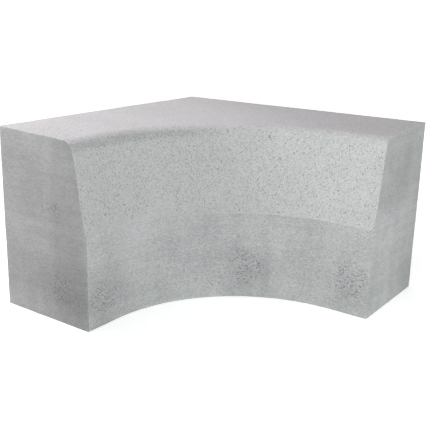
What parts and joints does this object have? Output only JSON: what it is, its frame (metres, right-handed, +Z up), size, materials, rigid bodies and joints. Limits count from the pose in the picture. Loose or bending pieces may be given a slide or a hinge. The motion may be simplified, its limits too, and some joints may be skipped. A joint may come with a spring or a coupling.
{
  "type": "concrete kerb inner corner",
  "caption": "Precast concrete kerb unit for a 90 degree inner corner, with a square back, a quarter-round battered face, a rounded front edge and a granite finish above.",
  "frame": {"origin": "middle of the 500 mm square that the unit fills in plan, on the bed", "axes": "+Z up; the square outer corner lies toward -X +Y; the left leg's end face looks along -Y and the right leg's along +X; the curved face looks toward +X -Y"},
  "size_m": [0.5, 0.5, 0.3],
  "materials": {
    "plain_concrete": "matte",
    "granite_mix": "matte",
    "reinforcing_steel": "matte"
  },
  "bodies": {
    "root": {"core_concrete": "plain_concrete", "granite_facing": "granite_mix", "outer_bottom_bar": "reinforcing_steel", "outer_top_bar": "reinforcing_steel", "inner_bottom_bar": "reinforcing_steel", "inner_top_bar": "reinforcing_steel", "left_end_link": "reinforcing_steel", "right_end_link": "reinforcing_steel", "corner_link_1": "reinforcing_steel", "corner_link_2": "reinforcing_steel", "corner_link_3": "reinforcing_steel", "corner_link_4": "reinforcing_steel", "corner_link_5": "reinforcing_steel"}
  },
  "joints": []
}
